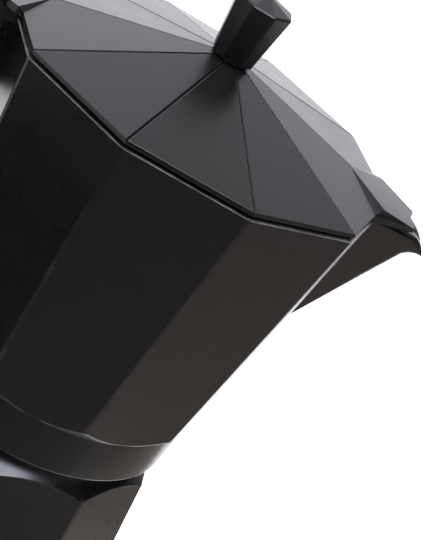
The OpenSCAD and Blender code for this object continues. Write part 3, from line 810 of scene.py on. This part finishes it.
@dataclass(frozen=True)
class Thread:
    """A screw thread: a ridge wound round the pot's axis, outwards or, below zero, inwards."""

    wall_r: float
    start: float
    turns: float
    height: float
    sunk: float = 0.1 * MM
    pitch: float = 3.0 * MM
    half_root: float = 1.0 * MM
    half_crest: float = 0.12 * MM
    steps: int = 48
    merge: float = 0.001 * MM
    crease: float = 50.0

    def build(self) -> bmesh.types.BMesh:
        """Winds the ridge.

        Returns:
            The closed ridge.
        """
        root_r = self.wall_r - math.copysign(self.sunk, self.height)
        crest_r = root_r + self.height
        form = bmesh.new()
        section = [form.verts.new((r, 0, self.start + z))
                   for r, z in ((root_r, -self.half_root), (crest_r, -self.half_crest),
                                (crest_r, self.half_crest), (root_r, self.half_root))]
        face = form.faces.new(section)
        bmesh.ops.spin(form, geom=[face, *face.edges, *face.verts], angle=2 * math.pi * self.turns,
                       steps=int(self.steps * self.turns), axis=(0, 0, 1), cent=(0, 0, 0),
                       dvec=(0, 0, self.pitch / self.steps), use_merge=False, use_duplicate=False)
        bmesh.ops.holes_fill(form, edges=form.edges, sides=8)
        bmesh.ops.remove_doubles(form, verts=form.verts, dist=self.merge)
        bmesh.ops.recalc_face_normals(form, faces=form.faces)
        shade(form, flat=self.crease)
        return form


@dataclass
class Frame:
    """The loaded frame and the palette that dresses it."""

    nodes: dict[str, bpy.types.Object]
    palette: Palette

    def paint(self, node: str, finish: str) -> None:
        """Gives a solid of the frame one finish in all its slots.

        Args:
            node: The solid's name.
            finish: The finish's name.
        """
        solid = self.nodes[node]
        if not solid.material_slots:
            solid.data.materials.append(self.palette[finish])
        for place in solid.material_slots:
            place.material = self.palette[finish]
        LOG.info("%s: %s", node, finish)


# ---- Sub-assemblies -------------------------------------------------------------------------


@dataclass
class Boiler:
    """The water chamber: ten leaning sides, conical shoulder, threaded neck.

    Its paint stops at bare_z on the neck and leaves the inside and the foot's underside bare.
    """

    frame: Frame
    merge: float = 0.05 * MM
    bore_r: float = 36.0 * MM
    floor_z: float = 3.0 * MM
    foot_z: float = 0.8 * MM
    foot_down: float = -0.9
    bare_z: float = 80.0 * MM
    neck_skin: float = 0.4 * MM
    cut: float = 0.001 * MM
    thread: Thread = Thread(wall_r=37.0 * MM, start=81.4 * MM, turns=2.2, height=0.3 * MM)
    roundings: tuple[Rounding, ...] = (
        # The corners between the sides, the shoulder's edges and the foot.
        Rounding(1.2 * MM, 1 * MM, 73 * MM, reach=40 * MM, shortest=30 * MM, segments=4),
        Rounding(0.22 * MM, 70 * MM, 77 * MM, reach=38 * MM, shortest=0.5 * MM),
        Rounding(0.3 * MM, 0.3 * MM, 4 * MM, reach=44 * MM, shortest=0.5 * MM, segments=2),
    )

    def build(self) -> None:
        """Builds and dresses the chamber and its thread."""
        palette = self.frame.palette
        form = copied(self.frame.nodes["boiler"], self.merge)
        bmesh.ops.bisect_plane(form, geom=[*form.verts, *form.edges, *form.faces], dist=self.cut,
                               plane_co=(0, 0, self.bare_z), plane_no=(0, 0, 1))
        for face in form.faces:
            if self._bare(face):
                face.material_index = BARE
        soften(form, self.roundings)
        shade(form)
        piece = finished("boiler_body", form, Body.BASE,
                         [palette["satin_black"], palette["cast_aluminium"]])
        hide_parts("boiler")
        finished("neck_thread", self.thread.build(), Body.BASE,
                 [palette["turned_aluminium"]], weighted=False)

    def _bare(self, face: bmesh.types.BMFace) -> bool:
        """Says whether a face is left unpainted.

        Args:
            face: The face.

        Returns:
            True for the chamber's inside, the underside of its foot and the threaded neck.
        """
        middle = face.calc_center_median()
        reach = math.hypot(*middle.xy)
        inside = faces_axis(face) or (reach < self.bore_r and middle.z > self.floor_z)
        underside = middle.z < self.foot_z and face.normal.z < self.foot_down
        neck = reach < self.thread.wall_r + self.neck_skin and middle.z > self.bare_z
        return inside or underside or neck


@dataclass
class SafetyValve:
    """The brass valve on the boiler's side, with its washer, seat, spring and pin."""

    frame: Frame
    axis: Triple = (0.30901699, 0.95105652, 0.0)
    height: float = 50.0 * MM
    spring_end: float = 52.83 * MM
    spring_length: float = 12.43 * MM
    lift: float = 1.5 * MM
    crease: float = 60.0

    def build(self) -> None:
        """Dresses the valve's parts and gives the spring a mesh of its own."""
        form = copied(self.frame.nodes["valve_spring"])
        shade(form, flat=self.crease)
        coil = finished("spring_coil", form, Body.BASE,
                        [self.frame.palette["drawn_steel"]], weighted=False)
        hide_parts("valve_spring")
        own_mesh(coil)
        self.frame.paint("valve_body", "turned_brass")
        self.frame.paint("valve_washer", "soft_copper")
        self.frame.paint("valve_seat", "turned_brass")
        self.frame.paint("valve_plunger", "drawn_steel")


@dataclass
class Strainer:
    """The funnel with its perforated plate."""

    frame: Frame

    def build(self) -> None:
        """Dresses the funnel and its plate."""
        self.frame.paint("funnel", "turned_aluminium")
        self.frame.paint("funnel_plate", "turned_aluminium")


@dataclass
class Seals:
    """The gasket and the filter plate under the collector."""

    frame: Frame

    def build(self) -> None:
        """Dresses the gasket and the plate."""
        self.frame.paint("gasket", "pale_rubber")
        self.frame.paint("filter_plate", "turned_aluminium")


@dataclass
class Collector:
    """The jug: ten flaring sides on a round collar, spout, hinge ears and handle tongue."""

    frame: Frame
    merge: float = 0.08 * MM
    ears_x: float = -50.0 * MM
    chamber_r: float = 37.0 * MM
    ledge_r: float = 40.5 * MM
    ledge_z: float = 79.0 * MM
    ledge_up: float = 0.5
    thread: Thread = Thread(wall_r=37.3 * MM, start=82.9 * MM, turns=1.9, height=-0.3 * MM)
    roundings: tuple[Rounding, ...] = (
        # The corners between the sides, the rim, the waist and the collar's foot.
        Rounding(0.9 * MM, 132 * MM, 136 * MM, reach=40 * MM, shortest=60 * MM, segments=4),
        Rounding(0.16 * MM, 170.5 * MM, 171.5 * MM, reach=50 * MM, shortest=10 * MM, segments=2),
        Rounding(0.4 * MM, 93 * MM, 98 * MM, reach=42 * MM, shortest=0.4 * MM),
        Rounding(0.3 * MM, 79 * MM, 81 * MM, reach=40.5 * MM, shortest=0.4 * MM, segments=2),
    )

    def build(self) -> None:
        """Builds and dresses the jug and its thread."""
        palette = self.frame.palette
        form = copied(self.frame.nodes["collector"], self.merge)
        for face in form.faces:
            if self._bare(face):
                face.material_index = BARE
        soften(form, self.roundings)
        shade(form)
        piece = finished("collector_body", form, Body.TOP,
                         [palette["satin_black"], palette["cast_aluminium"]])
        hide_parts("collector")
        finished("collar_thread", self.thread.build(), Body.TOP,
                 [palette["turned_aluminium"]], weighted=False)
        self.frame.paint("hinge_pin", "drawn_steel")

    def _bare(self, face: bmesh.types.BMFace) -> bool:
        """Says whether a face is left unpainted.

        Args:
            face: The face.

        Returns:
            True for the jug's inside and its underside, and False at the hinge ears.
        """
        middle = face.calc_center_median()
        if middle.x < self.ears_x:
            return False
        reach = math.hypot(*middle.xy)
        ledge = (reach < self.ledge_r and middle.z > self.ledge_z
                 and face.normal.z > self.ledge_up)
        return faces_axis(face) or ledge or reach < self.chamber_r


@dataclass
class Lid:
    """The ten-sided lid with its grooved ridges, spout tab and hinge wedge."""

    frame: Frame
    merge: float = 0.05 * MM
    skirt_merge: float = 0.01 * MM
    tab_root: float = 53.0 * MM
    skirt_foot: float = 171.45 * MM
    skirt_height: float = 3.0 * MM
    undercut: Pair = (-0.999, -0.15)
    crease: float = 7.0
    roundings: tuple[Rounding, ...] = (
        # The ridges, the rim and the spout tab.
        Rounding(0.12 * MM, 175 * MM, 186 * MM, reach=8 * MM, shortest=30 * MM, segments=2),
        Rounding(0.15 * MM, 172 * MM, 174 * MM, reach=50 * MM, shortest=15 * MM, segments=2),
        Rounding(0.18 * MM, 172 * MM, 175 * MM, reach=55 * MM, shortest=10 * MM, segments=2),
    )

    def build(self) -> None:
        """Builds and dresses the lid."""
        palette = self.frame.palette
        form = copied(self.frame.nodes["lid"], self.merge)
        self._drop_skirt(form)
        soften(form, self.roundings)
        shade(form, flat=self.crease)
        piece = finished("lid_body", form, Body.COVER, [palette["satin_black"]])
        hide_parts("lid")

    def _drop_skirt(self, form: bmesh.types.BMesh) -> None:
        """Carries the spout tab's undercut sides straight down to the rim.

        Args:
            form: The lid's merged copy.
        """
        under = [face for face in form.faces if self._under_tab(face)]
        pulled = bmesh.ops.extrude_face_region(form, geom=under)["geom"]
        for vertex in (item for item in pulled if isinstance(item, bmesh.types.BMVert)):
            vertex.co.z = self.skirt_foot
        bmesh.ops.delete(form, geom=[face for face in under if face.is_valid], context="FACES_ONLY")
        bmesh.ops.remove_doubles(form, verts=form.verts, dist=self.skirt_merge)
        bmesh.ops.recalc_face_normals(form, faces=form.faces)

    def _under_tab(self, face: bmesh.types.BMFace) -> bool:
        """Says whether a face is one of the tab's undercut sides.

        Args:
            face: The face.

        Returns:
            True for a face past the tab's root that leans under it, within the skirt's height.
        """
        middle = face.calc_center_median()
        lowest, highest = self.undercut
        return (middle.x > self.tab_root and lowest < face.normal.z < highest
                and self.skirt_foot < middle.z < self.skirt_foot + self.skirt_height)


@dataclass
class Knob:
    """The eight-sided knob with its brass bush, washer and screw."""

    frame: Frame
    crease: float = 9.0
    roundings: tuple[Rounding, ...] = (
        # The corners between the sides, the edge of the crown and the foot.
        Rounding(0.5 * MM, 186.5 * MM, 201 * MM, reach=4 * MM, shortest=10 * MM),
        Rounding(0.22 * MM, 201.3 * MM, 201.7 * MM, reach=4 * MM, shortest=3 * MM, segments=2),
        Rounding(0.2 * MM, 185 * MM, 186.5 * MM, reach=4 * MM, shortest=3 * MM, segments=2),
    )

    def build(self) -> None:
        """Builds and dresses the knob."""
        palette = self.frame.palette
        form = copied(self.frame.nodes["knob"])
        soften(form, self.roundings)
        shade(form, sharp=self.crease, flat=self.crease)
        piece = finished("knob_body", form, Body.COVER, [palette["black_moulding"]])
        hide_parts("knob")
        self.frame.paint("knob_insert", "turned_brass")
        self.frame.paint("knob_washer", "drawn_steel")
        self.frame.paint("knob_screw", "drawn_steel")


@dataclass
class Handle:
    """The moulded handle with its brass bush and screw."""

    frame: Frame
    crease: float = 40.0

    def build(self) -> None:
        """Builds and dresses the handle."""
        palette = self.frame.palette
        form = copied(self.frame.nodes["handle"])
        shade(form, flat=self.crease)
        piece = finished("handle_body", form, Body.TOP, [palette["handle_moulding"]])
        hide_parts("handle")
        self.frame.paint("handle_insert", "turned_brass")
        self.frame.paint("handle_screw", "drawn_steel")


# ---- Studio ---------------------------------------------------------------------------------


@dataclass(frozen=True)
class SoftLight:
    """One soft box, by where it stands, what it faces, its size and its power."""

    name: str
    place: Triple
    target: Triple
    size: Pair
    power: float
    glossy: bool = False
    colour: Triple = (1.0, 1.0, 1.0)

    def build(self) -> None:
        """Sets the light up."""
        data = bpy.data.lights.new(self.name, "AREA")
        data.shape = "RECTANGLE"
        data.size, data.size_y = self.size
        data.energy = self.power
        data.color = self.colour
        light = bpy.data.objects.new(self.name, data)
        bpy.context.collection.objects.link(light)
        light.location = self.place
        light.visible_glossy = self.glossy
        aim = Vector(self.target) - Vector(self.place)
        light.rotation_euler = aim.to_track_quat("-Z", "Y").to_euler()


def panel(name: str, size: Pair) -> bpy.types.Object:
    """Makes a flat rectangle about the origin.

    Args:
        name: The panel's name.
        size: Its length and width.

    Returns:
        The new object.
    """
    form = bmesh.new()
    bmesh.ops.create_grid(form, x_segments=1, y_segments=1, size=0.5)
    bmesh.ops.scale(form, vec=(*size, 1.0), verts=form.verts)
    return shown(name, form)


@dataclass(frozen=True)
class ReflectionCard:
    """A glowing card on the floor that only reflections see: a painted reflection whose glow falls
    off along it.
    """

    name: str
    middle: Pair
    size: Pair
    turn: float
    near: float
    far: float
    tint: Colour
    far_tint: Colour
    lift: float = 1.0 * MM

    def build(self) -> None:
        """Lays the card out."""
        card = panel(self.name, self.size)
        card.location = (*self.middle, self.lift)
        card.rotation_euler = (0, 0, math.radians(self.turn))
        card.visible_camera = card.visible_diffuse = card.visible_shadow = False
        surface = Surface.named(self.name)
        graph = surface.graph
        along = graph.split(graph.place())[0]
        half = self.size[0] / 2
        tint = graph.mixed(graph.ranged(along, -half, half), self.tint, self.far_tint)
        # The glow from near to far along the card is what the pot's glossy faces reflect: painted
        # light where it is bright, painted shade where it is near black.
        graph.join(graph.ranged(along, -half, half, self.near, self.far),
                   surface.shader.inputs["Emission Strength"])
        graph.join(tint, surface.shader.inputs["Emission Color"])
        surface.plain(Base_Color=(0, 0, 0, 1), Specular_IOR_Level=0.0)
        card.data.materials.append(surface.material)


@dataclass
class Studio:
    """Pale floor, soft light from behind and above, and the camera."""

    place: Triple = (-0.0569088, -0.4234728, 0.3232379)
    turn: Triple = (62.005383, -30.624843, 4.128352)
    lens: float = 120.70015
    sensor: float = 36.0
    nearest: float = 0.01
    # The room's light grows towards bright_side from dark_share on, and more near the horizon.
    # Seen by the camera itself, it is as even as the backdrop.
    backdrop: float = 0.31
    bright_side: Pair = (-0.5, 0.87)
    dark_share: float = 0.12
    brightness: float = 2.54
    horizon: Pair = (0.12, 0.32)
    horizon_gain: float = 1.32
    dimmest: float = 0.03
    air: Colour = (0.97, 0.95, 1.03, 1.0)
    floor_side: float = 24.0
    floor_colour: Colour = (0.86, 0.855, 0.845, 1.0)
    floor_rough: float = 0.75

    def build(self) -> None:
        """Sets up camera, world, floor, lights and cards."""
        self._camera()
        self._world()
        self._floor()
        for item in (
            SoftLight("top_box", (-0.05, -0.25, 1.15), target=(0.0, 0.0, 0.1), size=(0.5, 0.5),
                      power=16.0, glossy=True),
            SoftLight("front_box", (0.27, -0.55, 0.90), target=(0.0, 0.0, 0.08), size=(0.34, 0.34),
                      power=7.0, glossy=True, colour=(0.84, 0.86, 1.0)),
            SoftLight("back_box", (0.45, 1.1, 0.8), target=(0.35, 0.7, 0.0), size=(1.4, 1.0),
                      power=20.0),
            SoftLight("left_back_box", (-0.9, 1.1, 0.7), target=(-0.5, 0.7, 0.0), size=(0.9, 0.9),
                      power=10.0),
            # Glowing cards that only reflections see paint the reflections: a dim floor in front, a
            # near-black patch at the left front, a lit floor at the right and a bright patch at the
            # back left.
            ReflectionCard("front_painted_reflection", (0.03, -0.51), size=(0.9, 0.42), turn=-90.0, near=0.38, far=0.02,
                 tint=(1.0, 0.87, 0.86, 1.0), far_tint=(0.95, 0.86, 1.08, 1.0)),
            ReflectionCard("left_dark_painted_reflection", (-0.195, -0.16), size=(0.31, 0.36), turn=200.0, near=0.008, far=0.03,
                 tint=(1.0, 0.6, 0.75, 1.0), far_tint=(0.9, 0.85, 1.1, 1.0)),
            ReflectionCard("right_painted_reflection", (0.42, -0.09), size=(0.62, 0.36), turn=0.0, near=0.53, far=0.05,
                 tint=(1.0, 0.87, 0.79, 1.0), far_tint=(1.0, 0.88, 0.78, 1.0)),
            ReflectionCard("back_left_painted_reflection", (-0.24, 0.30), size=(0.30, 0.18), turn=118.0, near=2.4, far=2.4,
                 tint=(1.0, 0.96, 0.99, 1.0), far_tint=(1.0, 0.96, 0.99, 1.0)),
        ):
            item.build()

    def _camera(self) -> None:
        """Stands the camera where the view needs it."""
        data = bpy.data.cameras.new("view")
        data.sensor_fit = "VERTICAL"
        data.sensor_height = self.sensor
        data.lens = self.lens
        data.clip_start = self.nearest
        camera = bpy.data.objects.new("view", data)
        bpy.context.collection.objects.link(camera)
        camera.location = self.place
        camera.rotation_euler = tuple(math.radians(angle) for angle in self.turn)
        bpy.context.scene.camera = camera

    def _world(self) -> None:
        """Lights the room bright behind the pot and dim in front of it."""
        world = bpy.data.worlds.new("studio")
        world.use_nodes = True
        graph = Graph(world.node_tree)
        shader = next(node for node in world.node_tree.nodes if node.type == "BACKGROUND")
        x, y, z = graph.split(graph.add("TexCoord").outputs["Generated"])
        across, along = self.bright_side
        back = graph.maths("ADD", graph.times(y, along), graph.times(x, across))
        lit = graph.times(graph.maths("SUBTRACT", back, self.dark_share), self.brightness)
        low = graph.ranged(z, *self.horizon, to_low=self.horizon_gain, to_high=1.0)
        glow = graph.maths("MAXIMUM", graph.times(lit, low), self.dimmest)
        seen = graph.add("LightPath").outputs["Is Camera Ray"]
        change = graph.maths("SUBTRACT", self.backdrop, glow)
        plain = graph.maths("MULTIPLY_ADD", seen, change, glow)
        graph.join(plain, shader.inputs["Strength"])
        shader.inputs["Color"].default_value = self.air
        bpy.context.scene.world = world
        bpy.context.scene.view_settings.view_transform = "Standard"

    def _floor(self) -> None:
        """Lays the pale floor."""
        floor = panel("floor", (self.floor_side, self.floor_side))
        surface = Surface.named("pale_floor")
        surface.plain(Base_Color=self.floor_colour, Roughness=self.floor_rough)
        floor.data.materials.append(surface.material)


def main() -> None:
    """Builds the pot's sub-assemblies and the studio."""
    logging.basicConfig(level=logging.INFO, format="%(name)s: %(message)s")
    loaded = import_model()
    frame = Frame(loaded["nodes"], Palette())
    for part in (Boiler(frame), SafetyValve(frame), Strainer(frame), Seals(frame), Collector(frame),
                 Lid(frame), Knob(frame), Handle(frame)):
        part.build()
    Studio().build()


if __name__ == "__main__":
    main()
